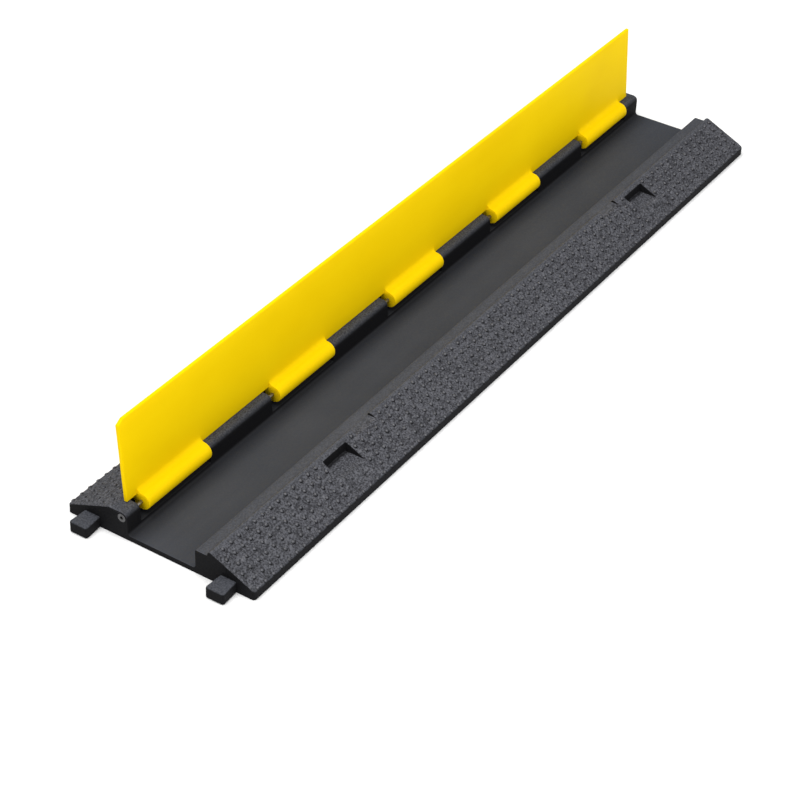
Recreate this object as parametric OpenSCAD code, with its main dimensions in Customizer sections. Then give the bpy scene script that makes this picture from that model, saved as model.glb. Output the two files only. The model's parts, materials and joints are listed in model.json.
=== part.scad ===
// Cable protector ramp: a channelled base section with a hinged cover plate, shown with the cover open.
// X runs along the section, Y across it and Z up from the ground. The origin is the base's bottom centre.

/* [Base section] */
// Length of the base, without its connector tabs
base_l = 1000; // [940:1:1060]
// Width of the base across both ramps
base_w = 220; // [212:1:240]
// Height of the vertical outer edges
edge_h = 9.8; // [8:0.1:10]
// Distance from the middle of the base to the middle of its pockets, scoops and knuckles
middle_x = -5.5; // [-6:0.5:0]
// Thickness of the floor under the cable channel
floor_t = 6; // [5:0.5:7]
// Radius between the channel's floor and its walls
floor_fillet = 3; // [1:0.5:4]

/* [Front wall and ledge] */
// Distance from the centre line to the channel's front wall
wall_y = 42; // [41:0.5:43]
// Height of the ledge that the closed cover rests on
ledge_h = 28; // [27:0.5:29]
// Width of that ledge
ledge_w = 14; // [13.5:0.5:15]
// Height of the front ramp's ridge
ridge_h = 34; // [33:0.5:35]

/* [Hinge] */
// Distance from the centre line to the hinge axis
axis_y = 44; // [43.5:0.1:44.5]
// Height of the hinge axis
axis_z = 24.2; // [24:0.1:24.5]
// Distance from the centre line to the channel's wall on the hinge side
hinge_wall_y = 37.5; // [37:0.1:38]
// Height of the base's knuckles and of the crest behind them
crest_h = 30.6; // [30.4:0.1:31]
// Radius along the knuckles' front edges
knuckle_edge_r = 6; // [4:0.1:6]
// Distance from the centre line to where the ramp starts to fall
crest_y = 59; // [58:0.5:61]
// Number of barrels on the cover
barrel_n = 5; // [3:1:5]
// Radius of the cover's barrels
barrel_r = 9.5; // [9.3:0.1:9.7]
// Distance between the middles of two barrels
barrel_pitch = 210; // [206:1:212]
// Length of a barrel
barrel_l = 98; // [94:1:99]
// Length of the opening that holds one barrel
barrel_slot = 108; // [108:1:112]
// Distance by which the cover has slid along its rod, from the middle of its play
barrel_slide = 4.2; // [0:0.1:4.2]
// Gap behind a barrel
trough_gap = 1; // [0.5:0.1:1.2]
// Height of the floor of that opening
lip_h = 10.5; // [10:0.1:12]
// Radius between that floor and the wall behind it
trough_fillet = 4; // [2:0.5:5]
// Diameter of the hinge rod
rod_d = 4; // [3.5:0.1:5]
// Difference between the rod's diameter and its holes in the base
rod_fit = 0.1; // [0.05:0.01:0.2]
// Diameter of the hole through the cover's barrels
bore_d = 5.5; // [5.3:0.1:6]

/* [Rod bushes] */
// Outer diameter of the bush that closes the rod's hole
bush_d = 9; // [8:0.1:10]
// Diameter of the hole through the bush
bush_hole_d = 3.6; // [2:0.1:4]
// Length of the bush
bush_l = 6; // [4:0.5:10]

/* [Cover] */
// Thickness of the cover plate
cover_t = 4; // [3:0.1:4.5]
// Distance from the hinge axis to the cover's free edge
cover_reach = 98.5; // [97:0.5:99]
// Length of the cover plate
cover_l = 976; // [960:1:980]
// Distance from the middle of the base to the middle of that plate
cover_x = 2.5; // [-2:0.5:4]
// Length of the cut at the cover's free corner above the tabs
corner_cut = 8; // [4:0.5:10]
// Height of that cut
corner_drop = 4.5; // [3:0.5:8]
// Angle by which the open cover leans back
lean = 4; // [2:0.1:4]
// Gap between the closed cover and its ledge
rest_gap = 0.3; // [0.3:0.05:0.6]

/* [Pockets and scoops] */
// Half the distance between the two pockets of one ramp
pocket_x = 303; // [290:1:306]
// Length of a pocket
pocket_l = 39; // [30:1:42]
// Height of a pocket's level floor
pocket_h = 19.7; // [18:0.1:22]
// Distance from the centre line to a pocket's upright wall
pocket_y = 64.5; // [63:0.5:68]
// Half the distance between the two finger scoops
scoop_x = 250; // [240:1:254]
// Length of a finger scoop
scoop_l = 34; // [25:1:38]
// Height of a finger scoop's floor
scoop_h = 29.3; // [29:0.1:31]

/* [Connectors] */
// Distance from the centre line to each connector
connector_y = 80; // [78:0.5:82]
// Length of a connector tab
tab_l = 20; // [16:0.5:22]
// Width of a tab at its root
tab_root_w = 18.5; // [16:0.5:20]
// Width of a tab at its head
tab_head_w = 21.5; // [21:0.5:23]
// Height of a tab
tab_h = 12.5; // [10:0.5:12.5]
// Radius of a tab's upright corners
tab_corner_r = 2; // [1:0.5:3]
// Clearance between a tab and the socket of the next section
socket_gap = 0.5; // [0.3:0.1:0.8]

/* [Underside] */
// Number of relief cells in a row under each ramp
cell_n = 18; // [17:1:22]
// Thickness of the ribs between the cells
rib_t = 6; // [5:0.5:8]
// Thickness of the ramp above the cells, measured upright
roof_t = 8; // [7:0.5:9]

/* [Hidden] */

$fn = 64;
black = "#2b2c2f";
yellow = "#f2cf0b";
steel = "#b9bcc0";

cut = 1;                                  // how far a cutting shape runs past the face it opens
half_l = base_l / 2;
half_w = base_w / 2;
first_slot_x = middle_x - (barrel_n - 1) / 2 * barrel_pitch;
trough_r = barrel_r + trough_gap;
ridge_y = wall_y + ledge_w + 1.5;         // where the front ramp starts to fall
cover_y = ledge_h + rest_gap - axis_z;    // from the axis to the cover's channel side
notch_z = crest_h - axis_z + 0.8;         // the cover starts this far from the axis, beside the barrels
blend_r = 4;                              // radius between a barrel and the plate
tab_root_in = 6;                          // how far a tab's solid runs into the base
cell_end = 30;                            // solid length at each end of the base
cell_edge = 7;                            // solid width at the ramps' outer edges
cell_l = (base_l - 2 * cell_end - (cell_n - 1) * rib_t) / cell_n;
pocket_wall = 5;

// Height of each ramp's surface at a distance from the centre line
function front_z(y) = edge_h + (half_w - y) * (ridge_h - edge_h) / (half_w - ridge_y);
function hinge_z(y) = edge_h + (half_w - y) * (crest_h - edge_h) / (half_w - crest_y);

// Points along an arc, from angle a to angle b
function arc(y, z, r, a, b, n = 5) = [for (i = [0:n]) [y + r * cos(a + (b - a) * i / n),
                                                       z + r * sin(a + (b - a) * i / n)]];

// An outline in Y and Z, drawn out along X about its middle
module along_x(l) {
    translate([-l / 2, 0, 0]) rotate([90, 0, 90]) linear_extrude(l) children();
}

// A cylinder along X about its middle, on the hinge axis
module on_axis(r, l) {
    translate([-l / 2, axis_y, axis_z]) rotate([0, 90, 0]) cylinder(r = r, h = l);
}

module at_barrels() {
    for (i = [0:barrel_n - 1]) translate([first_slot_x + i * barrel_pitch, 0, 0]) children();
}

module base_section() {
    edge_y = hinge_wall_y + knuckle_edge_r;
    along_x(base_l) polygon(concat(
        [[-half_w, 0], [half_w, 0], [half_w, edge_h], [crest_y, crest_h]],
        arc(edge_y, crest_h - knuckle_edge_r, knuckle_edge_r, 90, 180),
        arc(hinge_wall_y - floor_fillet, floor_t + floor_fillet, floor_fillet, 0, -90),
        arc(floor_fillet - wall_y, floor_t + floor_fillet, floor_fillet, 270, 180),
        [[-wall_y, ledge_h], [-wall_y - ledge_w, ledge_h],
         [-wall_y - ledge_w - 0.5, ridge_h], [-ridge_y, ridge_h], [-half_w, edge_h]]));
}

// The space in which one barrel turns
module trough() {
    back_y = axis_y + trough_r;
    along_x(barrel_slot) polygon(concat(
        [[hinge_wall_y - cut, base_w], [hinge_wall_y - cut, lip_h]],
        arc(back_y - trough_fillet, lip_h + trough_fillet, trough_fillet, -90, 0),
        [[back_y, base_w]]));
}

// The pocket at the far end of the front ramp
module pocket() {
    translate([pocket_x - pocket_l / 2, -half_w - cut, pocket_h])
        cube([pocket_l, half_w + cut - pocket_y, base_w]);
}

module pocket_jacket() {
    translate([pocket_x - pocket_l / 2 - pocket_wall, -half_w - cut, pocket_h - pocket_wall])
        cube([pocket_l + 2 * pocket_wall, half_w + cut - pocket_y + pocket_wall, base_w]);
}

module scoop() {
    translate([scoop_x - scoop_l / 2, -half_w, scoop_h])
        cube([scoop_l, half_w - wall_y - ledge_w + cut, base_w]);
}

// Both ends of the front ramp
module both_ends() {
    children();
    mirror([1, 0, 0]) children();
}

// Both ends of both ramps
module four_ways() {
    both_ends() {
        children();
        mirror([0, 1, 0]) children();
    }
}

// A row of open cells under one ramp, whose surface falls from y0 to the edge
module cell_row(y0, z0, y1, z1) {
    for (i = [0:cell_n - 1]) translate([(i - (cell_n - 1) / 2) * (cell_l + rib_t), 0, 0])
        along_x(cell_l) polygon([[y0, -cut], [y1, -cut], [y1, z1], [y0, z0]]);
}

module cells() {
    front_y = ridge_y + 3;
    hinge_y = axis_y + trough_r + 4;
    end_y = half_w - cell_edge;
    difference() {
        union() {
            mirror([0, 1, 0]) cell_row(front_y, front_z(front_y) - roof_t, end_y, front_z(end_y) - roof_t);
            cell_row(hinge_y, hinge_z(hinge_y) - roof_t, end_y, hinge_z(end_y) - roof_t);
        }
        translate([middle_x, 0, 0]) four_ways() pocket_jacket();
    }
}

// A dovetail that widens away from x = 0, grown all round by g
module dovetail(g, h, root_in) {
    head_y = tab_head_w / 2 + g;
    root_y = tab_root_w / 2 + g;
    slant = atan((head_y - root_y) / tab_l);
    side_r = tab_corner_r;
    corner_y = head_y - side_r;
    linear_extrude(h) polygon(concat(
        [[root_in, -root_y], [root_in, root_y], [0, root_y]],
        arc(side_r - tab_l - g, corner_y, side_r, 90 - slant, 180, 4),
        arc(side_r - tab_l - g, -corner_y, side_r, 180, 270 + slant, 4),
        [[0, -root_y]]));
}

module base() {
    color(black) difference() {
        union() {
            base_section();
            for (side = [-1, 1]) translate([-half_l, side * connector_y, 0])
                dovetail(0, tab_h, tab_root_in);
        }
        at_barrels() trough();
        translate([middle_x, 0, 0]) {
            four_ways() pocket();
            both_ends() scoop();
        }
        cells();
        for (side = [-1, 1]) translate([half_l, side * connector_y, -cut])
            dovetail(socket_gap, tab_h + socket_gap + cut, cut);
        on_axis((rod_d + rod_fit) / 2, base_l + 2 * cut);
        both_ends() translate([half_l + (cut - bush_l) / 2, 0, 0])
            on_axis((bush_d + rod_fit) / 2, bush_l + cut);
    }
}

// The plate, standing on the hinge axis
module plate() {
    x = cover_l / 2;
    translate([cover_x, cover_y + cover_t, 0]) rotate([90, 0, 0]) linear_extrude(cover_t) polygon([
        [-x, notch_z], [x, notch_z], [x, cover_reach],
        [corner_cut - x, cover_reach], [-x, cover_reach - corner_drop]]);
}

// One barrel with the root of the plate and the blend between them
module barrel() {
    blend_y = cover_y - blend_r;
    blend_z = sqrt(pow(barrel_r + blend_r, 2) - blend_y * blend_y);
    along_x(barrel_l) circle(barrel_r);
    along_x(barrel_l) translate([cover_y, 0]) square([cover_t, notch_z + 1]);
    difference() {
        along_x(barrel_l) polygon([[0, 0], [cover_y + 1, 0], [cover_y + 1, blend_z], [blend_y, blend_z]]);
        translate([-half_l, blend_y, blend_z]) rotate([0, 90, 0]) cylinder(r = blend_r, h = base_l);
    }
}

module cover() {
    color(yellow) translate([0, axis_y, axis_z]) rotate([-lean, 0, 0]) difference() {
        union() {
            plate();
            translate([barrel_slide, 0, 0]) at_barrels() barrel();
        }
        translate([-half_l, 0, 0]) rotate([0, 90, 0]) cylinder(r = bore_d / 2, h = base_l);
    }
}

module hinge_rod() {
    color(steel) on_axis(rod_d / 2, base_l - 2 * bush_l);
}

module bush() {
    color(steel) difference() {
        translate([half_l - bush_l / 2, 0, 0]) on_axis(bush_d / 2, bush_l);
        translate([half_l - bush_l / 2, 0, 0]) on_axis(bush_hole_d / 2, bush_l + 2 * cut);
    }
}

module rod_bush_near() {
    mirror([1, 0, 0]) bush();
}

module rod_bush_far() {
    bush();
}

base();
cover();
hinge_rod();
rod_bush_near();
rod_bush_far();
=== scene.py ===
"""Looks of the cable protector ramp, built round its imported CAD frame.

The base and the cover are lofted from cross sections in Y and Z that change along X, so each of them is one
closed mesh. Lengths are in millimetres up to the point where a mesh is made. The materials, the floor, the
lights and the camera are in metres.
"""

import json
import math

import bpy
import numpy as np
from mathutils import Matrix, Vector, noise
from mathutils.geometry import tessellate_polygon


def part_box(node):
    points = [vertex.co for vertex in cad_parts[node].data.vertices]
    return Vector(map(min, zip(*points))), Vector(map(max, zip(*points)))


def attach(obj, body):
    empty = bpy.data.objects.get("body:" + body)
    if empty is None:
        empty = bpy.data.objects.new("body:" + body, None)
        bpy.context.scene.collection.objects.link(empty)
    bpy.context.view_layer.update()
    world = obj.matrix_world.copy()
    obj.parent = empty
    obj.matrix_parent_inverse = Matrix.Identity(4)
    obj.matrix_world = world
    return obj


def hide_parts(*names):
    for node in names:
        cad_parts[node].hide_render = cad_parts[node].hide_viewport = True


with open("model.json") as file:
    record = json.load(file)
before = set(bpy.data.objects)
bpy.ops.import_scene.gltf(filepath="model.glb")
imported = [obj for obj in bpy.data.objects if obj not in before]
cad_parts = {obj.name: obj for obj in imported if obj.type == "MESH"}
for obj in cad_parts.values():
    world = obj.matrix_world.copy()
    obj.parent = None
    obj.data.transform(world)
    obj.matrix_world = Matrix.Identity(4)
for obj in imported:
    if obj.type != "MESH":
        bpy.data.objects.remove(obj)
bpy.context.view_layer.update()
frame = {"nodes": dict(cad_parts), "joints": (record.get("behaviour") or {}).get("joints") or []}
MM = 0.001


def box_mm(node):
    low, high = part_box(node)
    return low / MM, high / MM


# ---------------------------------------------------------------- sizes taken from the frame

base_low, base_high = box_mm("base")
bush_low, bush_high = box_mm("rod_bush_far")
cover_low, cover_high = box_mm("cover")
hinge = frame["joints"][0]

HALF_L = base_high.x
HALF_W = base_high.y
RIDGE_Z = base_high.z
TAB_L = -HALF_L - base_low.x
AXIS_Y, AXIS_Z = (v / MM for v in hinge["pos_m"][1:])
BUSH_R = (bush_high.z - bush_low.z) / 2
BUSH_L = bush_high.x - bush_low.x
LEAN = hinge["range_deg"][1] - 90
COVER_L = cover_high.x - cover_low.x
COVER_X = (cover_high.x + cover_low.x) / 2

# ---------------------------------------------------------------- sizes of the base, as in the CAD model

EDGE_Z = 9.8
RIDGE_Y = 57.5
CREST_Y, CREST_Z = 59.0, 30.6
FLOOR_Z = 6.0
FLOOR_FILLET = 3.0
WALL_Y = 42.0
LEDGE_Y, LEDGE_Z = 56.0, 28.0
HINGE_WALL_Y = 37.5
KNUCKLE_EDGE_R = 6.0
TROUGH_Y = AXIS_Y + 10.5     # the wall behind a barrel
TROUGH_FILLET = 4.0
LIP_Z = 10.5
BARREL_R, BORE_R = 9.5, 2.75
BARREL_SLOT, BARREL_L = 108.0, 98.0
BARREL_N, BARREL_PITCH = 5, 210.0
MIDDLE_X = -5.5              # the middle of the pockets, scoops and knuckles
BARREL_SLIDE = 4.2           # from the middle of a slot to the middle of its barrel
SLOT_X = [MIDDLE_X + (i - (BARREL_N - 1) / 2) * BARREL_PITCH for i in range(BARREL_N)]
POCKET_X = [MIDDLE_X - 303.0, MIDDLE_X + 303.0]
POCKET_L, POCKET_Y, POCKET_Z = 39.0, 64.5, 19.7
SCOOP_X = [MIDDLE_X - 250.0, MIDDLE_X + 250.0]
SCOOP_L, SCOOP_Z = 34.0, 29.3
TAB_Y, TAB_ROOT_W, TAB_HEAD_W, TAB_Z = 80.0, 18.5, 21.5, 12.5
SOCKET_GAP = 0.5
CELL_N, CELL_END, CELL_RIB, ROOF = 18, 30.0, 6.0, 8.0
CELL_FRONT_Y, CELL_HINGE_Y, CELL_EDGE_Y = 60.5, 58.5, 103.0
POCKET_RIB = 5.0             # solid rubber between a pocket and the nearest relief cell

# ---------------------------------------------------------------- surface detail, not in the CAD model

STATION = 2.15        # spacing of the base's cross sections
MIDWAY = 0.293        # 1 - cos 45 degrees, for the middle point of a rounded edge
DRAFT = 0.4           # how far a wall across X leans
SMALL_R, LARGE_R = 1.0, 1.6           # rounding, along X, of a feature's rim
# The rounded share of each feature's depth, and the share from which its rounding is the large one.
TROUGH_SHARE, POCKET_SHARE, SCOOP_SHARE, BARREL_SHARE = 0.1, 0.08, 0.14, 0.09
LARGE_SHARE = 0.1
RIDGE_R, CREST_R = 3.0, 4.0           # rounding of the front ramp's ridge and of the hinge side's crest
STEP_R, LEDGE_R = 1.5, 1.8
EDGE_R, FOOT_R = 1.8, 1.0             # rounding of the ramps' outer edges, above and at the ground
RIM_R, HEEL_R = 0.8, 1.2              # rounding of a pocket's rim and of its inner corner
LIP_R, SHOULDER_R = 0.6, 0.8          # rounding of a trough's two upper edges
END_R = 0.8           # rounding of all edges of the base's two end faces
CORNER_R = 3.5        # rounding of the ramps' upright outer corners
CORNER_REACH = 6.0    # width of the strip along the outer edge that this rounding draws in
HOLE_GAP = 0.05       # between a bush and its hole
HOLE_SIDES = 32
TAB_EDGE_R, TAB_CORNER_R = 1.5, 2.6
TAB_REACH = 1.5       # how much longer a tab is than in the CAD model, to make up for its rounding
TAB_ROOT_DEPTH = 4.0  # how far its root goes into the base

GRAIN_HEIGHT = 0.3    # height of the moulded pebble grain
PEBBLES = [(2.3, 0.75), (6.5, 0.45)]                # size and share of the fine and of the coarse grain
RIDGE_GRAIN, EDGE_GRAIN = 0.5, 0.5                  # how grained each place is. The ramps are 1
STEP_GRAIN, LEDGE_GRAIN, LEDGE_LIP_GRAIN = 0.4, 0.3, 0.2
KNUCKLE_GRAIN, KNUCKLE_EDGE_GRAIN, CREST_GRAIN = 0.15, 0.2, 0.6
TAB_GRAIN = 0.45
WORN_STRIP = 9.0      # from the ridge to where the front ramp has its full grain

DOT_PITCH_X = 12.25
DOTS_EACH_WAY = 40    # from the middle of a row
DOT_ROWS = 6
DOT_ROW_STEP = 9.7
DOT_FIRST = 8.0       # from the ridge to the first row
DOT_R = 2.3
DOT_SIDES = 8
DOT_PROFILE = [(1.0, -0.25), (0.86, 0.5), (0.48, 0.88)]     # shares of a dot's radius and height
DOT_VARIETY = 0.08    # how much the dots differ in size
FRONT_DOT_H, HINGE_DOT_H = 1.4, 0.8   # the dots on the hinge side are more worn
POCKET_BARE_Y = 102.0                 # a ramp is bare of dots from a pocket's wall down to here
SCOOP_BARE_Y = 70.0                   # and from a scoop in its ridge down to here


def front_z(y):
    return EDGE_Z + (HALF_W - y) * (RIDGE_Z - EDGE_Z) / (HALF_W - RIDGE_Y)


def hinge_z(y):
    return EDGE_Z + (HALF_W - y) * (CREST_Z - EDGE_Z) / (HALF_W - CREST_Y)


# ---------------------------------------------------------------- outlines in Y and Z


def line(a, b, n):
    """n points from a towards b, without b."""
    t = np.arange(n)[:, None] / n
    return np.array(a, float) * (1 - t) + np.array(b, float) * t


def arc(centre, r, start, end, n):
    """n + 1 points of an arc between two angles."""
    angles = np.radians(np.linspace(start, end, n + 1))
    return np.array(centre) + r * np.column_stack((np.cos(angles), np.sin(angles)))


def bend(before, at, after, r, n):
    """n + 1 points that round the corner between two straight lines."""
    before, at, after = (np.array(p, float) for p in (before, at, after))
    one = (before - at) / np.linalg.norm(before - at)
    two = (after - at) / np.linalg.norm(after - at)
    half = math.acos(float(np.clip(one @ two, -1, 1))) / 2
    middle = (one + two) / np.linalg.norm(one + two)
    centre = at + middle * r / math.sin(half)
    first = at + one * r / math.tan(half) - centre
    last = at + two * r / math.tan(half) - centre
    start = math.degrees(math.atan2(first[1], first[0]))
    turn = math.degrees(math.atan2(first[0] * last[1] - first[1] * last[0], first @ last))
    return arc(centre, r, start, start + turn, n)


def mirrored(points):
    """The same outline on the other side of the centre line, run the other way."""
    return points[::-1] * (-1, 1)


def slope(height, top_y, kind, n_top, n_low):
    """One ramp's surface from its top out to its edge on the +Y side, plain or with a pocket in it."""
    out_y = HALF_W - (POCKET_Z - EDGE_Z) * (HALF_W - top_y) / (height(top_y) - EDGE_Z)
    wall_top, way_out = (POCKET_Y, height(POCKET_Y)), (out_y, POCKET_Z)
    upper = line((top_y, height(top_y)), wall_top, n_top)
    if kind == "pocket":
        foot = (POCKET_Y, POCKET_Z)
        rim = bend((top_y, height(top_y)), wall_top, foot, RIM_R, 2)
        heel = bend(wall_top, foot, way_out, HEEL_R, 3)
        middle = np.vstack((rim, line(rim[-1], heel[0], 4)[1:], heel, line(heel[-1], way_out, 12)[1:]))
    else:
        middle = line(wall_top, way_out, 21)
    lower = line(way_out, (HALF_W, EDGE_Z), n_low)
    return np.vstack((upper, middle, lower))


def outer_edge(top_before):
    """The ramp's outer edge on the +Y side, from the surface down to the ground."""
    top = bend(top_before, (HALF_W, EDGE_Z), (HALF_W, 0), EDGE_R, 3)
    foot = bend((HALF_W, EDGE_Z), (HALF_W, 0), (0, 0), FOOT_R, 2)
    return np.vstack((top, line(top[-1], foot[0], 2)[1:], foot))


def underside(inner_y, height, kind, socket_w=0.0):
    """From the outer edge to the centre line on the +Y side: flat, with a relief cell, or with a socket."""
    if kind == "cell":
        top_out, top_in = height(CELL_EDGE_Y) - ROOF, height(inner_y) - ROOF
        middle = ((CELL_EDGE_Y + inner_y) / 2, (top_out + top_in) / 2)
        points = [(CELL_EDGE_Y, 0), (CELL_EDGE_Y, top_out), middle, (inner_y, top_in), (inner_y, 0)]
    elif kind == "socket":
        far, near, top = TAB_Y + socket_w / 2, TAB_Y - socket_w / 2, TAB_Z + SOCKET_GAP
        points = [(far, 0), (far, top), (TAB_Y, top), (near, top), (near, 0)]
    else:
        points = [(y, 0) for y in np.linspace(CELL_EDGE_Y, inner_y, 5)]
    return np.vstack((points, line((inner_y - 12, 0), (0, 0), 2)))


def knuckle_side():
    """From the floor's fillet over a black knuckle to the crest, and how grained each point is."""
    edge_y, edge_z = HINGE_WALL_Y + KNUCKLE_EDGE_R, CREST_Z - KNUCKLE_EDGE_R
    face = [(HINGE_WALL_Y, z) for z in np.linspace(LIP_Z - LIP_R, edge_z - 1, 8)]
    edge = arc((edge_y, edge_z), KNUCKLE_EDGE_R, 180, 90, 6)
    crest = [(y, CREST_Z) for y in np.linspace(edge_y + 1.5, CREST_Y - 2, 8)]
    face_grain = np.full(len(face), KNUCKLE_GRAIN)
    edge_grain = np.linspace(KNUCKLE_EDGE_GRAIN, CREST_GRAIN, len(edge))
    crest_grain = np.full(len(crest), CREST_GRAIN)
    return np.vstack((face, edge, crest)), np.concatenate((face_grain, edge_grain, crest_grain))


def trough_side():
    """The same number of points where a barrel of the cover lies in its smooth trough."""
    below_lip = [(HINGE_WALL_Y, LIP_Z - LIP_R - 0.05)]
    lip = bend((HINGE_WALL_Y, 0), (HINGE_WALL_Y, LIP_Z), (AXIS_Y, LIP_Z), LIP_R, 2)
    heel = arc((TROUGH_Y - TROUGH_FILLET, LIP_Z + TROUGH_FILLET), TROUGH_FILLET, -90, 0, 5)
    floor = line((HINGE_WALL_Y + 1.5, LIP_Z), heel[0], 6)
    wall = [(TROUGH_Y, z) for z in np.linspace(heel[-1][1] + 2, CREST_Z - 1.5, 4)]
    shoulder = bend((TROUGH_Y, 0), (TROUGH_Y, CREST_Z), (CREST_Y, CREST_Z), SHOULDER_R, 2)
    points = np.vstack((below_lip, lip, floor, heel, wall, shoulder))
    return points, np.zeros(len(points))


def base_outline(side="knuckle", pocket="plain", under="flat", socket_w=0.0):
    """One closed cross section of the base, and how grained each of its points is."""
    crest = bend((0, CREST_Z), (CREST_Y, CREST_Z), (HALF_W, EDGE_Z), CREST_R, 3)
    # The roundings of the crest and the ridge take the place of the slopes' first points.
    hinge_slope = slope(hinge_z, CREST_Y, pocket, 5, 13)[1:]
    front_slope = slope(front_z, RIDGE_Y, pocket, 5, 14)[3:]
    front_grain = np.interp(front_slope[:, 0], (RIDGE_Y, RIDGE_Y + WORN_STRIP), (RIDGE_GRAIN, 1))
    # The ridge is rounded from a point just past its own corner, so that it loses less of its height.
    past_ridge = (-RIDGE_Y + 0.5, RIDGE_Z + 0.2)
    ridge = bend((-HALF_W, EDGE_Z), past_ridge, (-LEDGE_Y, LEDGE_Z), RIDGE_R, 4)
    step = bend((-RIDGE_Y, RIDGE_Z), (-LEDGE_Y, LEDGE_Z), (0, LEDGE_Z), STEP_R, 2)
    ledge = bend((-LEDGE_Y, LEDGE_Z), (-WALL_Y, LEDGE_Z), (-WALL_Y, 0), LEDGE_R, 4)
    heel = bend((-WALL_Y, LEDGE_Z), (-WALL_Y, FLOOR_Z), (0, FLOOR_Z), FLOOR_FILLET, 4)
    toe = bend((0, FLOOR_Z), (HINGE_WALL_Y, FLOOR_Z), (HINGE_WALL_Y, AXIS_Z), FLOOR_FILLET, 4)
    top_edge = outer_edge((CREST_Y, CREST_Z))
    front_edge = outer_edge((RIDGE_Y, RIDGE_Z))
    hinge_side, hinge_grain = knuckle_side() if side == "knuckle" else trough_side()
    hinge_underside = underside(CELL_HINGE_Y, hinge_z, under, socket_w)
    front_underside = mirrored(underside(CELL_FRONT_Y, front_z, under, socket_w))
    parts = [
        (ridge, RIDGE_GRAIN),
        (line(ridge[-1], step[0], 3)[1:], STEP_GRAIN),
        (step, STEP_GRAIN),
        (line(step[-1], ledge[0], 4)[1:], LEDGE_GRAIN),
        (ledge, LEDGE_LIP_GRAIN),
        (line(ledge[-1], heel[0], 4)[1:], 0),
        (heel, 0),
        (line(heel[-1], toe[0], 8)[1:], 0),
        (toe, 0),
        (hinge_side, hinge_grain),
        (crest, 1),
        (hinge_slope, 1),
        (top_edge, EDGE_GRAIN),
        (hinge_underside, 0),
        (front_underside[1:], 0),
        (mirrored(front_edge), EDGE_GRAIN),
        (mirrored(front_slope), front_grain[::-1]),
    ]
    grain = np.concatenate([np.broadcast_to(value, len(points)) for points, value in parts])
    return np.vstack([points for points, _ in parts]), grain


# ---------------------------------------------------------------- how the outline changes along X


def span(low, high, rounding):
    """Stations and weights of a feature between two places. rounding is the rounded share of its depth."""
    lean = DRAFT / 2
    if rounding:
        r = SMALL_R if rounding < LARGE_SHARE else LARGE_R
        steps = [(-lean - r, 0), (-lean - MIDWAY * r, MIDWAY * rounding), (-lean, rounding),
                 (lean, 1 - rounding), (lean + MIDWAY * r, 1 - MIDWAY * rounding), (lean + r, 1)]
    else:
        steps = [(-lean, 0), (lean, 1)]
    rise = [(low + dx, w) for dx, w in steps]
    fall = [(high - dx, w) for dx, w in reversed(steps)]
    return np.array(rise + fall)


def away(places, x):
    """Distance from x to the nearest of some places."""
    return min(abs(x - place) for place in places)


def weight(spans, xs):
    """How much of a feature each station has, from 0 to 1."""
    return sum(np.interp(xs, s[:, 0], s[:, 1], left=0, right=0) for s in spans)


def stations(low, high, spacing, spans, ends):
    """Where the cross sections stand: at every change of a feature, and evenly between these places."""
    closest = 0.45 * spacing      # an even station that is nearer than this to a fixed one is left out
    fixed = np.unique(np.round(np.concatenate([s[:, 0] for s in spans] + [ends]), 3))
    fixed = fixed[(fixed >= low) & (fixed <= high)]
    even = np.linspace(low, high, round((high - low) / spacing) + 1)
    near = np.abs(even[:, None] - fixed[None, :]).min(1)
    return np.sort(np.concatenate((fixed, even[near > closest])))


def end_inset(xs, half, r):
    """How far the outline draws in near an end, to round its edges."""
    depth = np.clip(np.abs(xs) - (half - r), 0, r)
    return r - np.sqrt(np.maximum(r * r - depth * depth, 0))


def unit(vectors):
    """Vectors of length 1 in the same directions. A vector of no length stays so."""
    return vectors / np.maximum(np.linalg.norm(vectors, axis=1, keepdims=True), 1e-9)


def outward(outline):
    """Unit normals of a closed outline, pointing out of it, whichever way round it runs."""
    ahead, behind = np.roll(outline, -1, 0), np.roll(outline, 1, 0)
    along = unit(unit(outline - behind) + unit(ahead - outline))
    normal = np.column_stack((-along[:, 1], along[:, 0]))
    area = 0.5 * np.sum(outline[:, 0] * ahead[:, 1] - ahead[:, 0] * outline[:, 1])
    return normal if area < 0 else -normal


# ---------------------------------------------------------------- meshes

SHARP = 40            # degrees from which the edge between two faces is drawn sharp


def make_piece(name, body, vertices, faces, material, layers=None, sharp=SHARP, weighted=True):
    """A mesh object from points in millimetres, riding on a body of the frame."""
    flat_weight = 60
    mesh = bpy.data.meshes.new(name)
    mesh.from_pydata((np.asarray(vertices) * MM).tolist(), [], faces)
    mesh.update()
    mesh.validate()
    for layer, values in (layers or {}).items():
        attribute = mesh.attributes.new(layer, "FLOAT", "POINT")
        attribute.data.foreach_set("value", np.asarray(values, np.float32))
    mesh.materials.append(material)
    mesh.shade_smooth()
    mesh.set_sharp_from_angle(angle=math.radians(sharp))
    piece = bpy.data.objects.new(name, mesh)
    bpy.context.scene.collection.objects.link(piece)
    if weighted:
        modifier = piece.modifiers.new("flat faces stay flat", "WEIGHTED_NORMAL")
        modifier.keep_sharp = True
        modifier.weight = flat_weight
    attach(piece, body)
    return piece


def strips(first, rings, count, flip=False):
    """Faces between neighbouring rings, each of count points, that follow one another from point first."""
    faces = []
    for k in range(rings - 1):
        a, b = first + k * count, first + (k + 1) * count
        for i in range(count):
            j = (i + 1) % count
            faces.append((a + i, b + i, b + j, a + j) if flip else (a + i, a + j, b + j, b + i))
    return faces


def loft(xs, outlines):
    """Vertices and side faces of a closed skin through outlines, each in its own plane across X."""
    count = outlines.shape[1]
    vertices = np.concatenate([np.column_stack((np.full(count, x), o)) for x, o in zip(xs, outlines)])
    return vertices, strips(0, len(xs), count)


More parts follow.
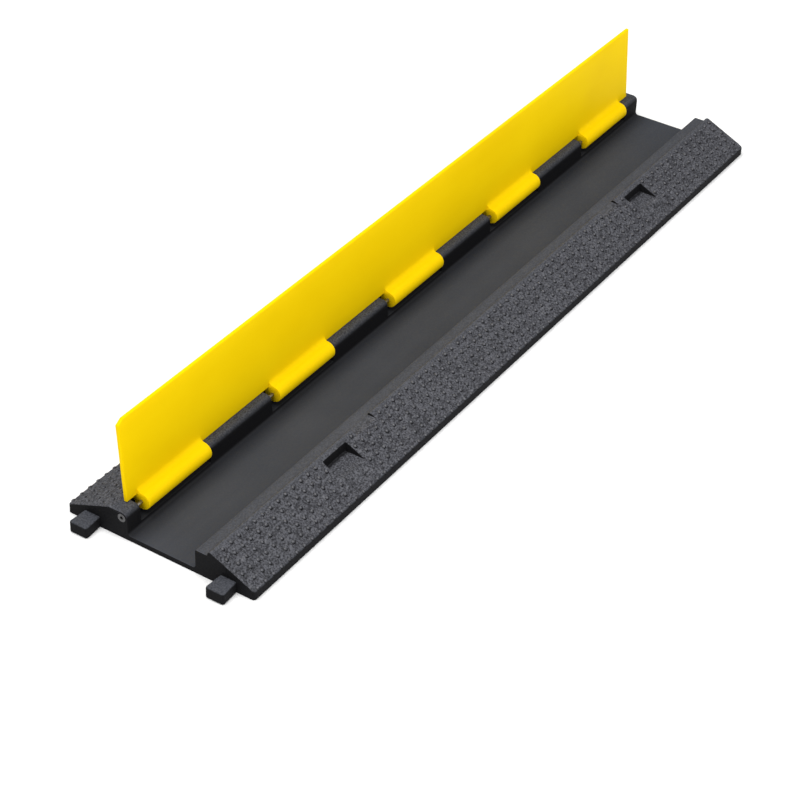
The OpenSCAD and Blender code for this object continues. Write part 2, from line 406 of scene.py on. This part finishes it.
def cap(outline, first, x, hole=None, reverse=False):
    """Faces that close one end, and the extra points of its round blind hole if it has one."""
    loops = [[Vector((y, z, 0)) for y, z in outline]]
    extra, index = [], list(range(first, first + len(outline)))
    faces = []
    if hole:
        centre, r, floor_x, start = hole
        rim = arc(centre, r, 0, 360, HOLE_SIDES)[:-1]
        loops.append([Vector((y, z, 0)) for y, z in rim])
        mouth = list(range(start, start + len(rim)))
        bottom = list(range(start + len(rim), start + 2 * len(rim)))
        extra = [(x, y, z) for y, z in rim] + [(floor_x, y, z) for y, z in rim]
        index += mouth
        wall = [(mouth[i], mouth[i - 1], bottom[i - 1], bottom[i]) for i in range(len(rim))]
        faces += [f[::-1] if reverse else f for f in wall]
        faces.append(tuple(bottom if reverse else bottom[::-1]))
    corners = sum(loops, [])
    for triangle in tessellate_polygon(loops):
        a, b, c = (corners[i] for i in triangle)
        clockwise = (b - a).cross(c - a).z < 0
        ids = tuple(index[i] for i in triangle)
        faces.append(ids[::-1] if clockwise != reverse else ids)
    return faces, extra


def pebbles(points):
    """Height of the moulded grain at each point, from about -1 to 1."""
    def height(p):
        return sum(share * noise.noise(Vector(p) * (1 / size)) for size, share in PEBBLES)

    return np.array([height(p) for p in points])


def tab(side):
    """One dovetail connector tab: rounded at every edge that shows, its root inside the base."""
    def outline(inset):
        head, root = TAB_HEAD_W / 2 - inset, TAB_ROOT_W / 2 - inset
        tip, near_middle = -TAB_L - TAB_REACH + inset, 2.0
        corner_r = max(TAB_CORNER_R - inset, 0.8)
        corner = bend((0, root), (tip, head), (tip, 0), corner_r, 4)
        flank = line((0, root), corner[0], 3)
        half = np.vstack(([(TAB_ROOT_DEPTH, root)], flank, corner, [(tip, near_middle)]))
        return np.vstack((half, half[::-1] * (1, -1)))

    angles = np.radians((90, 60, 30, 0))
    levels = [(TAB_EDGE_R * (1 - math.sin(a)), TAB_EDGE_R * (1 - math.cos(a))) for a in angles]
    rings = levels + [(TAB_Z - z, inset) for z, inset in reversed(levels)]
    points = []
    count = len(outline(0))
    for z, inset in rings:
        points += [(x - HALF_L, y + side * TAB_Y, z) for x, y in outline(inset)]
    faces = strips(0, len(rings), count, flip=True)
    faces.append(tuple(range(count)))
    faces.append(tuple(reversed(range((len(rings) - 1) * count, len(rings) * count))))
    return np.array(points), faces


def base_spans():
    """Where along X each feature of the base begins and ends."""
    cell_l = (2 * HALF_L - 2 * CELL_END - (CELL_N - 1) * CELL_RIB) / CELL_N
    cells = [(i - (CELL_N - 1) / 2) * (cell_l + CELL_RIB) for i in range(CELL_N)]
    near_pocket = [x for x in cells if away(POCKET_X, x) < (cell_l + POCKET_L) / 2 + POCKET_RIB]
    return {
        "trough": [span(x - BARREL_SLOT / 2, x + BARREL_SLOT / 2, TROUGH_SHARE) for x in SLOT_X],
        "pocket": [span(x - POCKET_L / 2, x + POCKET_L / 2, POCKET_SHARE) for x in POCKET_X],
        "scoop": [span(x - SCOOP_L / 2, x + SCOOP_L / 2, SCOOP_SHARE) for x in SCOOP_X],
        "cell": [span(x - cell_l / 2, x + cell_l / 2, 0) for x in cells if x not in near_pocket],
        "socket": [span(HALF_L - TAB_L - SOCKET_GAP, HALF_L + TAB_L, 0)],
    }


def base_stations(spans):
    """The base's stations, with some close to its ends for the roundings there."""
    depths = [END_R * share for share in (0, MIDWAY, 1)]
    depths += [CORNER_R * share for share in (0.08, 0.5, 1)]
    ends = np.array([side * (HALF_L - depth) for side in (-1, 1) for depth in depths])
    return stations(-HALF_L, HALF_L, STATION, sum(spans.values(), []), ends)


def base_sections(xs, weights):
    """The base's cross section at each station, its outward normals, and how grained each point is."""
    plain, grain = base_outline()
    trough, trough_grain = base_outline(side="trough")
    pocket, _ = base_outline(pocket="pocket")
    cell, _ = base_outline(under="cell")
    insets = end_inset(xs, HALF_L, END_R)
    corner_insets = end_inset(xs, HALF_L, CORNER_R)
    outlines, normals, grains = [], [], []
    for k, x in enumerate(xs):
        outline = plain + weights["trough"][k] * (trough - plain) + weights["pocket"][k] * (pocket - plain)
        outline = outline + weights["cell"][k] * (cell - plain)
        if weights["socket"][k]:
            into = (HALF_L - x) / TAB_L
            width = TAB_ROOT_W + (TAB_HEAD_W - TAB_ROOT_W) * into + 2 * SOCKET_GAP
            socket, _ = base_outline(under="socket", socket_w=width)
            outline = outline + weights["socket"][k] * (socket - plain)
        high = (outline[:, 0] < -WALL_Y) & (outline[:, 1] > SCOOP_Z)
        outline[high, 1] += weights["scoop"][k] * (SCOOP_Z - outline[high, 1])
        near_edge = np.clip(np.abs(outline[:, 0]) - (HALF_W - CORNER_REACH), 0, CORNER_REACH) / CORNER_REACH
        outline[:, 0] -= np.sign(outline[:, 0]) * near_edge * corner_insets[k]
        normal = outward(outline)
        outlines.append(outline - normal * insets[k])
        normals.append(normal)
        grains.append(grain + weights["trough"][k] * (trough_grain - grain))
    return np.array(outlines), np.array(normals), np.array(grains)


def pocket_corner_shade(outlines, pocket_weight):
    """How dark the painted shade is in the inner corner of a pocket. It is 0 away from there."""
    darkest = 1.2
    in_corner = np.interp(np.abs(outlines[..., 0]) - POCKET_Y, (-0.5, 1, 4.5), (0, 1, 0))
    return darkest * in_corner * pocket_weight[:, None]


def base_pale_and_shade(outlines):
    """1 where the ledge is paler, -1 where painted shade darkens the channel and the troughs along the
    hinge.
    """
    y, z = outlines[..., 0], outlines[..., 1]
    on_ledge = np.interp(y, (-LEDGE_Y - 2, -LEDGE_Y, -WALL_Y - 2, -WALL_Y + 0.5), (1, 1, 0.2, 0))
    by_hinge = np.interp(y, (14, HINGE_WALL_Y - 2, TROUGH_Y, TROUGH_Y + 3), (0, 1, 1, 0))
    return on_ledge * (z > LEDGE_Z - 2) - by_hinge * (z < LIP_Z + TROUGH_FILLET)


def make_base(material):
    spans = base_spans()
    xs = base_stations(spans)
    weights = {name: weight(s, xs) for name, s in spans.items()}
    outlines, normals, grains = base_sections(xs, weights)
    points = np.column_stack((np.repeat(xs, outlines.shape[1]), outlines.reshape(-1, 2)))
    relief = pebbles(points).reshape(grains.shape)
    outlines += normals * (relief * grains * GRAIN_HEIGHT)[..., None]

    vertices, faces = loft(xs, outlines)
    # The relief layer is the grain's height, less the painted shade in the pockets' inner corners.
    skin = {"grain": grains, "pale_and_shade": base_pale_and_shade(outlines),
            "relief": relief * grains - pocket_corner_shade(outlines, weights["pocket"])}
    for end, x in ((0, -HALF_L), (len(xs) - 1, HALF_L)):
        inner = x - math.copysign(BUSH_L + 2 * HOLE_GAP, x)
        hole = ((AXIS_Y, AXIS_Z), BUSH_R + HOLE_GAP, inner, len(vertices))
        more, extra = cap(outlines[end], end * outlines.shape[1], x, hole, reverse=end > 0)
        faces += more
        vertices = np.vstack((vertices, extra))
    for side in (-1, 1):
        tab_points, more = tab(side)
        faces += [tuple(i + len(vertices) for i in face) for face in more]
        vertices = np.vstack((vertices, tab_points))

    rest = {"grain": TAB_GRAIN, "relief": 0, "pale_and_shade": 0}
    added = len(vertices) - grains.size
    layers = {name: np.append(skin[name].ravel(), np.full(added, rest[name])) for name in rest}
    piece = make_piece("base_moulding", "base", vertices, faces, material, layers)
    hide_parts("base")
    return piece


def bare(side, x, y):
    """Whether a ramp has no dot at this place, because a pocket or a scoop is there."""
    in_pocket = away(POCKET_X, x) < POCKET_L / 2 + DOT_R and POCKET_Y - 2 < y < POCKET_BARE_Y
    in_scoop = side < 0 and away(SCOOP_X, x) < SCOOP_L / 2 + DOT_R and y < SCOOP_BARE_Y
    return in_pocket or in_scoop


def dot_places(side, top_y, length):
    """X, Y and row number of every dot of one ramp, whose surface is this long from its top to its edge."""
    last = DOT_FIRST + (DOT_ROWS - 1) * DOT_ROW_STEP
    front_length = math.hypot(HALF_W - RIDGE_Y, RIDGE_Z - EDGE_Z)
    start = length - (front_length - last) - (DOT_ROWS - 1) * DOT_ROW_STEP
    places = []
    for row in range(DOT_ROWS):
        shift = 0.25 * DOT_PITCH_X * (1 if row % 2 == 0 else -1)
        y = top_y + (start + row * DOT_ROW_STEP) * (HALF_W - top_y) / length
        for k in range(-DOTS_EACH_WAY, DOTS_EACH_WAY + 1):
            x = k * DOT_PITCH_X + shift
            if not bare(side, x, y):
                places.append((x, y, row))
    return places


def dot_pale_and_shade(side, angle, h):
    """How pale a dot is at one point of its flank, as painted light and shade: darker towards -Y and +X,
    most of all at its foot, and paler on the other side.
    """
    plain_flank, foot_shading, rim_shading, least, rim_h = 0.1, 1.3, 0.8, -0.4, 0.8
    shaded_side = 0.75 * -side * math.sin(angle) + 0.65 * math.cos(angle)
    if h < rim_h:
        return plain_flank - foot_shading * max(shaded_side, least)
    return plain_flank - rim_shading * shaded_side


def make_dots(name, side, height, top_y, dot_h, material):
    """The raised dots of one ramp. side is -1 for the front ramp and 1 for the hinge side."""
    top_pale, seed, blob = 0.35, 3.7 * side, 5
    run, fall = HALF_W - top_y, height(top_y) - EDGE_Z
    length = math.hypot(run, fall)
    down = Vector((0, side * run / length, -fall / length))
    up = Vector((0, side * fall / length, run / length))
    vertices, faces, pale_and_shade = [], [], []
    for x, y, row in dot_places(side, top_y, length):
        centre = Vector((x, side * y, height(y)))
        size = 1 + DOT_VARIETY * noise.noise(Vector((x, y, seed)) / blob)
        first, rings = len(vertices), len(DOT_PROFILE)
        for share, h in DOT_PROFILE:
            for i in range(DOT_SIDES):
                angle = 2 * math.pi * (i + 0.5 * row) / DOT_SIDES
                r = share * DOT_R * size
                at = Vector((r * math.cos(angle), 0, 0)) + down * (r * math.sin(angle))
                vertices.append(centre + at + up * (h * dot_h * size))
                pale_and_shade.append(dot_pale_and_shade(side, angle, h))
        vertices.append(centre + up * (dot_h * size))
        # The top is paler.
        pale_and_shade.append(top_pale)
        a, top = first + (rings - 1) * DOT_SIDES, first + rings * DOT_SIDES
        flank = strips(first, rings, DOT_SIDES)
        flank += [(a + i, a + (i + 1) % DOT_SIDES, top) for i in range(DOT_SIDES)]
        faces += [face[:: -side] for face in flank]
        faces.append(tuple(range(first, first + DOT_SIDES))[::side])
    # The dots' relief layer holds painted light and shade on their flanks and a paler top, not their
    # height.
    layers = {"grain": [1] * len(vertices), "relief": pale_and_shade}
    return make_piece(name, "base", [tuple(v) for v in vertices], faces, material, layers,
                      sharp=80, weighted=False)


# ---------------------------------------------------------------- the cover

COVER_REACH = 98.5
COVER_T = 4.0
COVER_Y = 4.1          # from the axis to the cover's channel side
NOTCH_Z = 7.2          # from the axis to the cover's edge between the barrels
BLEND_R = 6.0
NOTCH_R = 0.8
CORNER_CUT, CORNER_DROP = 8.0, 4.5    # the free corner at the near end is cut this far along X and Z
CORNER_FROM = 60.0     # from the axis, where the plate begins to draw in towards that cut
PLATE_R = 1.0          # rounding of the plate's edges
PLATE_FROM = 20.0      # from the axis, where all cross sections are the plate alone
BARREL_SIDES, BORE_SIDES = 34, 40
COVER_STATION = 4.0


def cover_outline(barrel):
    """One closed cross section of the cover about the hinge axis, with or without a barrel."""
    inner, outer = COVER_Y, COVER_Y + COVER_T
    if barrel:
        start = math.degrees(math.acos(outer / BARREL_R))
        blend_y = inner - BLEND_R
        blend_z = math.sqrt((BARREL_R + BLEND_R) ** 2 - blend_y ** 2)
        touch = math.degrees(math.atan2(blend_z, blend_y))
        root = np.vstack((arc((0, 0), BARREL_R, start, touch - 360, BARREL_SIDES),
                          arc((blend_y, blend_z), BLEND_R, touch - 180, 0, 6)[1:]))
        foot = [(outer, root[0][1] + 2.5)]      # the plate is flat again this far above its barrel
    else:
        near = bend((outer, COVER_REACH), (outer, NOTCH_Z), (inner, NOTCH_Z), NOTCH_R, 3)
        far = bend((outer, NOTCH_Z), (inner, NOTCH_Z), (inner, COVER_REACH), NOTCH_R, 3)
        root = np.vstack((near, line(near[-1], far[0], BARREL_SIDES)[1:], far))
        foot = [(outer, NOTCH_Z + 3)]
    tip = np.vstack((bend((inner, 0), (inner, COVER_REACH), (outer, COVER_REACH), PLATE_R, 3),
                     bend((inner, COVER_REACH), (outer, COVER_REACH), (outer, 0), PLATE_R, 3)))
    rise = line((inner, PLATE_FROM), (inner, tip[0][1]), 8)
    fall = line(tip[-1], (outer, PLATE_FROM), 8)[1:]
    return np.vstack((foot, root, rise, tip, fall, [(outer, PLATE_FROM)]))


def stand(points):
    """Takes points about the hinge axis to the open cover's place."""
    points = np.asarray(points, float)
    c, s = math.cos(math.radians(LEAN)), math.sin(math.radians(LEAN))
    y, z = points[:, 1], points[:, 2]
    return np.column_stack((points[:, 0] + COVER_X, AXIS_Y + c * y + s * z, AXIS_Z - s * y + c * z))


def bore(piece):
    """Cuts the rod's hole through the barrels."""
    rim = arc((AXIS_Y, AXIS_Z), BORE_R, 0, 360, BORE_SIDES)[:-1]
    ends = np.array((-HALF_L, HALF_L))
    points, faces = loft(ends, np.array((rim, rim)))
    faces += [tuple(range(BORE_SIDES)), tuple(reversed(range(BORE_SIDES, 2 * BORE_SIDES)))]
    mesh = bpy.data.meshes.new("bore")
    mesh.from_pydata((points * MM).tolist(), [], [face[::-1] for face in faces])
    cutter = bpy.data.objects.new("bore", mesh)
    bpy.context.scene.collection.objects.link(cutter)
    cut = piece.modifiers.new("rod hole", "BOOLEAN")
    cut.operation, cut.solver, cut.object = "DIFFERENCE", "EXACT", cutter
    bpy.context.view_layer.update()
    shape = piece.evaluated_get(bpy.context.evaluated_depsgraph_get())
    bored = bpy.data.meshes.new_from_object(shape)
    piece.modifiers.remove(cut)
    piece.data = bored
    bpy.data.objects.remove(cutter)
    bored.set_sharp_from_angle(angle=math.radians(SHARP))


def make_cover(material):
    middles = [x + BARREL_SLIDE - COVER_X for x in SLOT_X]
    barrels = [span(x - BARREL_L / 2, x + BARREL_L / 2, BARREL_SHARE) for x in middles]
    half = COVER_L / 2
    rounded = [1 - math.cos(math.radians(turn)) for turn in (0, 30, 60, 90)]
    ends = [side * (half - PLATE_R * share) for side in (-1, 1) for share in rounded]
    ends += [CORNER_CUT * share - half for share in (0.95, 1.0, 1.1)]
    xs = stations(-half, half, COVER_STATION, barrels, np.array(ends))
    with_barrel, without = cover_outline(True), cover_outline(False)
    weights, insets = weight(barrels, xs), end_inset(xs, half, PLATE_R)
    outlines = []
    for x, w, inset in zip(xs, weights, insets):
        outline = without + w * (with_barrel - without)
        drop = CORNER_DROP * max(CORNER_CUT - half - x, 0) / CORNER_CUT
        tall = outline[:, 1] > CORNER_FROM
        outline[tall, 1] -= drop * (outline[tall, 1] - CORNER_FROM) / (COVER_REACH - CORNER_FROM)
        outlines.append(outline - outward(outline) * inset)
    vertices, faces = loft(xs, np.array(outlines))
    count = len(outlines[0])
    for end, x in ((0, -half), (len(xs) - 1, half)):
        more, _ = cap(outlines[end], end * count, x, reverse=end > 0)
        faces += more
    piece = make_piece("cover_plate", "cover", stand(vertices), faces, material,
                       weighted=False)
    bore(piece)
    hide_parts("cover")
    return piece


def fuller(value):
    """A sine or cosine taken a little towards 1 or -1, for an outline fuller than an ellipse."""
    return math.copysign(abs(value) ** 0.8, value)


def make_tread(material):
    """Raised bars on the cover's outer face, turned left and right by turns."""
    pitch, bar_l, bar_w, bar_h = 16.0, 13.0, 3.6, 1.4
    rows, first_z, around = 5, 24, 12
    end_power = 0.4         # below 1, so that a bar gets shorter by a smaller share than it gets narrower
    columns = int((COVER_L - 2 * CORNER_CUT) / pitch)
    face_y = COVER_Y + COVER_T
    profile = [(1.0, -0.2), (0.86, 0.75), (0.55, 1.0)]     # shares of a bar's width and height
    vertices, faces = [], []
    for row in range(rows):
        for column in range(columns):
            x = (column - (columns - 1) / 2) * pitch
            z = first_z + row * pitch
            turn = math.radians(45 if (row + column) % 2 else -45)
            first = len(vertices)
            for scale, h in profile:
                for i in range(around):
                    angle = 2 * math.pi * i / around
                    u = fuller(math.cos(angle)) * (bar_l / 2) * scale ** end_power
                    v = fuller(math.sin(angle)) * (bar_w / 2) * scale
                    vertices.append((x + u * math.cos(turn) - v * math.sin(turn), face_y + h * bar_h,
                                     z + u * math.sin(turn) + v * math.cos(turn)))
            faces += strips(first, len(profile), around, flip=True)
            a = first + (len(profile) - 1) * around
            faces.append(tuple(reversed(range(a, a + around))))
            faces.append(tuple(range(first, first + around)))
    return make_piece("cover_tread", "cover", stand(vertices), faces, material, sharp=60)


# ---------------------------------------------------------------- materials

MIX_FACTOR, MIX_A, MIX_B, MIX_COLOUR = 0, 6, 7, 2     # sockets of a colour Mix node


class Nodes:
    """A material's node tree, with short calls for the nodes used here."""

    def __init__(self, name):
        self.material = bpy.data.materials.new(name)
        self.material.use_nodes = True
        self.tree = self.material.node_tree
        self.shader = self.tree.nodes["Principled BSDF"]
        coordinates = self.add("ShaderNodeTexCoord")
        self.place, self.normal = coordinates.outputs["Object"], coordinates.outputs["Normal"]

    def add(self, kind, **values):
        node = self.tree.nodes.new(kind)
        for key, value in values.items():
            setattr(node, key, value)
        return node

    def link(self, source, socket):
        """Gives a socket a number, a colour or the output of another node."""
        if isinstance(source, (int, float)):
            socket.default_value = source
        elif isinstance(source, tuple):
            socket.default_value = (*source, 1)
        else:
            self.tree.links.new(source, socket)

    def noise(self, scale, detail=2.0, roughness=0.5, stretch=None):
        """Noise with this many features a metre, drawn out along an axis whose stretch is below 1."""
        node = self.add("ShaderNodeTexNoise")
        self.link(self.stretched(stretch) if stretch else self.place, node.inputs["Vector"])
        node.inputs["Scale"].default_value = scale
        node.inputs["Detail"].default_value = detail
        node.inputs["Roughness"].default_value = roughness
        return node.outputs["Fac"]

    def cells(self, scale):
        """Distance from the middles of random cells, with this many a metre."""
        node = self.add("ShaderNodeTexVoronoi")
        self.link(self.place, node.inputs["Vector"])
        node.inputs["Scale"].default_value = scale
        return node.outputs["Distance"]

    def stretched(self, factors):
        node = self.add("ShaderNodeMapping")
        self.link(self.place, node.inputs["Vector"])
        node.inputs["Scale"].default_value = factors
        return node.outputs["Vector"]

    def layer(self, name):
        return self.add("ShaderNodeAttribute", attribute_name=name).outputs["Fac"]

    def facing_up(self):
        node = self.add("ShaderNodeSeparateXYZ")
        self.link(self.normal, node.inputs["Vector"])
        return node.outputs["Z"]

    def pointiness(self):
        return self.add("ShaderNodeNewGeometry").outputs["Pointiness"]

    def math(self, operation, a, b):
        node = self.add("ShaderNodeMath", operation=operation)
        self.link(a, node.inputs[0])
        self.link(b, node.inputs[1])
        return node.outputs[0]

    def between(self, value, low, high, to_low=0.0, to_high=1.0):
        """value taken from low..high to to_low..to_high, and kept there."""
        node = self.add("ShaderNodeMapRange")
        self.link(value, node.inputs["Value"])
        for key, number in (("From Min", low), ("From Max", high), ("To Min", to_low), ("To Max", to_high)):
            self.link(number, node.inputs[key])
        return node.outputs["Result"]

    def blend(self, factor, a, b):
        """Colour a where factor is 0 and b where it is 1."""
        node = self.add("ShaderNodeMix", data_type="RGBA")
        self.link(factor, node.inputs[MIX_FACTOR])
        self.link(a, node.inputs[MIX_A])
        self.link(b, node.inputs[MIX_B])
        return node.outputs[MIX_COLOUR]

    def bump(self, height, strength, distance, normal=None):
        node = self.add("ShaderNodeBump")
        self.link(strength, node.inputs["Strength"])
        self.link(distance, node.inputs["Distance"])
        self.link(height, node.inputs["Height"])
        if normal:
            self.link(normal, node.inputs["Normal"])
        return node.outputs["Normal"]


def rubber():
    """Black rubber-plastic: pebbled where the grain layer says so, and darker where it stands upright,
    which is painted shade.
    """
    floor_dark, floor_pale = (0.033, 0.037, 0.047), (0.042, 0.046, 0.057)
    streak, ledge_tone, hinge_shade = (0.049, 0.053, 0.064), (0.062, 0.066, 0.078), (0.009, 0.009, 0.01)
    grain_dark, grain_pale = (0.022, 0.0225, 0.026), (0.1, 0.102, 0.116)
    hollow, tip = (0.004, 0.004, 0.005), (0.2, 0.2, 0.215)
    # Painted shade: the colours for faces that stand upright are far darker than those for faces that look
    # up.
    shaded_upright_dark, shaded_upright_pale = (0.007, 0.007, 0.008), (0.012, 0.012, 0.013)
    worn_edge = (0.09, 0.09, 0.095)

    n = Nodes("black_rubber_plastic")
    grain, relief, pale_and_shade = n.layer("grain"), n.layer("relief"), n.layer("pale_and_shade")
    up = n.between(n.facing_up(), 0.25, 0.93)
    speckle = n.noise(560, detail=3, roughness=0.6)
    pits = n.cells(520)
    broad = n.noise(9, detail=3, roughness=0.6)
    streaks = n.noise(60, detail=3, roughness=0.55, stretch=(0.08, 1, 1))

    smooth = n.blend(n.between(broad, 0.3, 0.7), floor_dark, floor_pale)
    smooth = n.blend(n.between(streaks, 0.35, 0.7, 0, 0.35), smooth, streak)
    # Paler on the ledge, where this layer is above 0.
    smooth = n.blend(pale_and_shade, smooth, ledge_tone)
    # Painted shade along the hinge, where this layer is below 0.
    smooth = n.blend(n.between(pale_and_shade, -1, 0, 0.8, 0), smooth, hinge_shade)
    rough = n.blend(n.between(speckle, 0.4, 0.6), grain_dark, grain_pale)
    # Painted shade in the grain's hollows, on the dots' shaded flanks and in the pockets' corners.
    rough = n.blend(n.between(relief, -0.8, 0.05), n.blend(0.85, rough, hollow), rough)
    # Paler on the grain's tips and the dots' tops, and painted light on the dots' lit flanks.
    rough = n.blend(n.between(relief, 0.2, 1.0, 0, 0.6), rough, tip)
    facing_up = n.blend(grain, smooth, rough)
    # Painted shade on the upright faces.
    shaded_upright = n.blend(n.between(speckle, 0.3, 0.7), shaded_upright_dark, shaded_upright_pale)
    worn = n.between(n.pointiness(), 0.53, 0.62, 0, 0.2)
    colour = n.blend(worn, n.blend(up, shaded_upright, facing_up), worn_edge)

    fine = n.bump(n.noise(2600), 0.12, 0.0002)
    amount = n.between(grain, 0, 1, 0.05, 0.6)
    normal = n.bump(n.math("ADD", speckle, n.math("MULTIPLY", pits, 0.6)), amount, 0.0005, fine)
    n.link(colour, n.shader.inputs["Base Color"])
    n.link(n.between(speckle, 0.3, 0.7, 0.52, 0.72), n.shader.inputs["Roughness"])
    n.link(n.between(up, 0, 1, 0.03, 0.17), n.shader.inputs["Specular IOR Level"])
    n.link(normal, n.shader.inputs["Normal"])
    return n.material


def yellow_pvc():
    """Satin yellow PVC with faint flow marks, fine scratches and paler edges."""
    deep, light = (0.88, 0.585, 0.001), (0.93, 0.635, 0.002)
    flow_mark, pale_edge = (0.95, 0.68, 0.004), (0.93, 0.72, 0.05)

    n = Nodes("yellow_pvc")
    broad = n.noise(7, detail=3, roughness=0.55)
    flow = n.noise(40, detail=3, roughness=0.5, stretch=(0.15, 1, 1))
    scratch = n.noise(900, detail=2, roughness=0.5, stretch=(0.03, 1, 1))
    colour = n.blend(n.between(broad, 0.3, 0.7), deep, light)
    colour = n.blend(n.between(flow, 0.4, 0.75, 0, 0.3), colour, flow_mark)
    colour = n.blend(n.between(n.pointiness(), 0.52, 0.62, 0, 0.5), colour, pale_edge)
    rough = n.math("ADD", n.between(broad, 0.3, 0.7, 0.38, 0.46), n.between(scratch, 0.55, 0.75, 0, 0.12))
    peel = n.bump(n.noise(420), 0.08, 0.0003)
    n.link(colour, n.shader.inputs["Base Color"])
    n.link(rough, n.shader.inputs["Roughness"])
    n.link(n.bump(scratch, 0.04, 0.0001, peel), n.shader.inputs["Normal"])
    n.shader.inputs["Specular IOR Level"].default_value = 0.015
    return n.material


def steel(name, tone, rough):
    """Drawn steel: fine lines round the rod's axis, with darker stains."""
    n = Nodes(name)
    lines = n.noise(1500, detail=2, roughness=0.6, stretch=(1, 0.04, 0.04))
    stain = n.noise(180, detail=4, roughness=0.6)
    bright = tuple(c * tone for c in (0.62, 0.62, 0.64))
    dull = tuple(c * tone for c in (0.38, 0.36, 0.34))
    n.link(n.blend(n.between(stain, 0.4, 0.7), bright, dull), n.shader.inputs["Base Color"])
    n.link(n.between(lines, 0.3, 0.7, rough - 0.08, rough + 0.1), n.shader.inputs["Roughness"])
    n.link(n.bump(lines, 0.15, 0.0001), n.shader.inputs["Normal"])
    n.shader.inputs["Metallic"].default_value = 1.0
    return n.material


def repaint(node, material):
    """Puts a material on a CAD node that stays in view."""
    for place in frame["nodes"][node].material_slots:
        place.material = material


# ---------------------------------------------------------------- stage, lights and camera


def make_floor():
    mesh = bpy.data.meshes.new("floor")
    reach = 8.0
    corners = [(-reach, -reach, 0), (reach, -reach, 0), (reach, reach, 0), (-reach, reach, 0)]
    mesh.from_pydata(corners, [], [(0, 1, 2, 3)])
    floor = bpy.data.objects.new("floor", mesh)
    bpy.context.scene.collection.objects.link(floor)
    n = Nodes("pale_floor")
    n.shader.inputs["Base Color"].default_value = (0.95, 0.95, 0.95, 1)
    n.shader.inputs["Roughness"].default_value = 0.9
    n.shader.inputs["Specular IOR Level"].default_value = 0.1
    mesh.materials.append(n.material)


def make_light(name, place, target, width, height, power):
    data = bpy.data.lights.new(name, "AREA")
    data.shape, data.size, data.size_y, data.energy = "RECTANGLE", width, height, power
    lamp = bpy.data.objects.new(name, data)
    lamp.location = place
    lamp.rotation_euler = (Vector(target) - Vector(place)).to_track_quat("-Z", "Y").to_euler()
    bpy.context.scene.collection.objects.link(lamp)


def make_camera():
    """Looks along the ramp from its near end and down at it, as in the photograph. Angles in degrees."""
    place, turn, down, roll = Vector((-1.7016, -1.0050, 1.3446)), 58.085, 36.611, 2.390
    t, d, r = (math.radians(v) for v in (turn, down, roll))
    ahead = Vector((math.sin(t) * math.cos(d), math.cos(t) * math.cos(d), -math.sin(d)))
    right = Vector((math.cos(t), -math.sin(t), 0))
    up = right.cross(ahead)
    right, up = right * math.cos(r) + up * math.sin(r), up * math.cos(r) - right * math.sin(r)
    data = bpy.data.cameras.new("camera")
    data.sensor_width, data.lens = 36, 98.91
    data.clip_start, data.clip_end = 0.05, 50
    camera = bpy.data.objects.new("camera", data)
    turned = Matrix((right, up, -ahead)).transposed().to_4x4()
    camera.matrix_world = Matrix.Translation(place) @ turned
    bpy.context.scene.collection.objects.link(camera)
    bpy.context.scene.camera = camera


def make_studio():
    make_floor()
    world = bpy.data.worlds.new("studio")
    world.use_nodes = True
    world.node_tree.nodes["Background"].inputs["Color"].default_value = (1, 1, 1, 1)
    world.node_tree.nodes["Background"].inputs["Strength"].default_value = 0.45
    bpy.context.scene.world = world
    make_light("top", place=(-0.6, 0.3, 2.8), target=(0, 0, 0), width=2.4, height=1.8, power=75)
    make_light("front", place=(0.2, -2.6, 1.5), target=(0, 0, 0), width=2.6, height=1.4, power=35)
    make_light("near", place=(-3.2, -0.4, 1.0), target=(-0.4, 0, 0), width=1.6, height=1.2, power=12)
    bpy.context.scene.view_settings.view_transform = "Standard"
    make_camera()


# ---------------------------------------------------------------- the whole object

black, yellow = rubber(), yellow_pvc()
make_base(black)
make_dots("front_ramp_dots", -1, front_z, RIDGE_Y, FRONT_DOT_H, black)
make_dots("hinge_ramp_dots", 1, hinge_z, CREST_Y, HINGE_DOT_H, black)
make_cover(yellow)
make_tread(yellow)
repaint("hinge_rod", steel("drawn_steel", 0.45, 0.35))
bush_steel = steel("plated_bush_steel", 0.2, 0.5)
repaint("rod_bush_near", bush_steel)
repaint("rod_bush_far", bush_steel)
make_studio()
